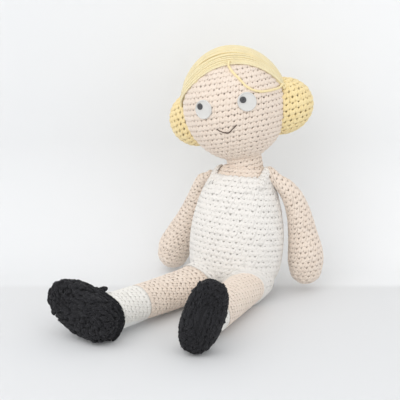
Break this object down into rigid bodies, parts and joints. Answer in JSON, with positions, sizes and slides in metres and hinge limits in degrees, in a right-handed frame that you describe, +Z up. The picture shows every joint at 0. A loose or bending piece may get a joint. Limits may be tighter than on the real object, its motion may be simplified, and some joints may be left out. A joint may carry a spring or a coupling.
{
  "type": "crocheted doll",
  "caption": "Crocheted stuffed doll that sits with its legs out, with a tilted round head, side buns, an off-white suit, socks and dark strap shoes.",
  "frame": {"origin": "on the flat under the seat, where the sitting doll rests on the floor", "axes": "+Z up, -Y the way the doll faces, +X its left"},
  "size_m": [0.1458, 0.1762, 0.1678],
  "materials": {
    "skin": "matte crocheted cotton yarn, pale peach",
    "suit_yarn": "matte crocheted cotton yarn, off-white",
    "sock_yarn": "matte crocheted cotton yarn, off-white",
    "hair_yarn": "long strands of pale yellow cotton yarn, soft sheen",
    "bun_yarn": "matte crocheted cotton yarn, yellow",
    "shoe_yarn": "fuzzy crocheted yarn, near black",
    "eye_white": "smooth satin disc, faintly bluish white",
    "pupil_black": "small smooth bead, black",
    "mouth_thread": "embroidery thread, dark brown",
    "stuffing": "loose white fibre filling"
  },
  "bodies": {
    "body": {"body_shell": "skin", "body_stuffing": "stuffing", "suit": "suit_yarn", "suit_strap_left": "suit_yarn", "suit_strap_right": "suit_yarn"},
    "neck": {"neck": "skin"},
    "head": {"bun_left": "bun_yarn", "bun_right": "bun_yarn", "bun_stuffing_left": "stuffing", "bun_stuffing_right": "stuffing", "eye_left": "eye_white", "eye_right": "eye_white", "hair": "hair_yarn", "hair_strand": "hair_yarn", "hair_tack": "hair_yarn", "head_shell": "skin", "head_stuffing": "stuffing", "mouth": "mouth_thread", "pupil_left": "pupil_black", "pupil_right": "pupil_black"},
    "arm_left": {"arm_left": "skin", "arm_stuffing_left": "stuffing"},
    "arm_right": {"arm_right": "skin", "arm_stuffing_right": "stuffing"},
    "leg_left": {"leg_left": "skin", "leg_stuffing_left": "stuffing", "sock_left": "sock_yarn", "shoe_left": "shoe_yarn", "shoe_strap_left": "shoe_yarn"},
    "leg_right": {"leg_right": "skin", "leg_stuffing_right": "stuffing", "sock_right": "sock_yarn", "shoe_right": "shoe_yarn", "shoe_strap_right": "shoe_yarn"}
  },
  "joints": [
    {"name": "head_tilt", "type": "hinge", "parent": "body", "child": "neck", "pos_m": [0.0023, 0.0098, 0.08643], "axis": [0, 0.9781, -0.2079], "range_deg": [-7, 33]},
    {"name": "head_turn", "type": "hinge", "parent": "neck", "child": "head", "pos_m": [0.0023, 0.0098, 0.08643], "axis": [-0.2237, 0.0992, 0.9696], "range_deg": [-40, 40]},
    {"name": "arm_left_swing", "type": "hinge", "parent": "body", "child": "arm_left", "pos_m": [0.02622, 0.00865, 0.07543], "axis": [-0.9284, -0.3084, -0.2075], "range_deg": [-25, 80]},
    {"name": "arm_right_swing", "type": "hinge", "parent": "body", "child": "arm_right", "pos_m": [-0.02516, 0.01129, 0.07487], "axis": [-0.9284, 0.3084, 0.2075], "range_deg": [-25, 80]},
    {"name": "leg_left_swing", "type": "hinge", "parent": "body", "child": "leg_left", "pos_m": [0.016, -0.0235, 0.0134], "axis": [0.9978, -0.0663, 0], "range_deg": [0, 85]},
    {"name": "leg_right_swing", "type": "hinge", "parent": "body", "child": "leg_right", "pos_m": [-0.016, -0.0235, 0.0134], "axis": [0.9272, -0.3746, 0], "range_deg": [0, 85]}
  ]
}
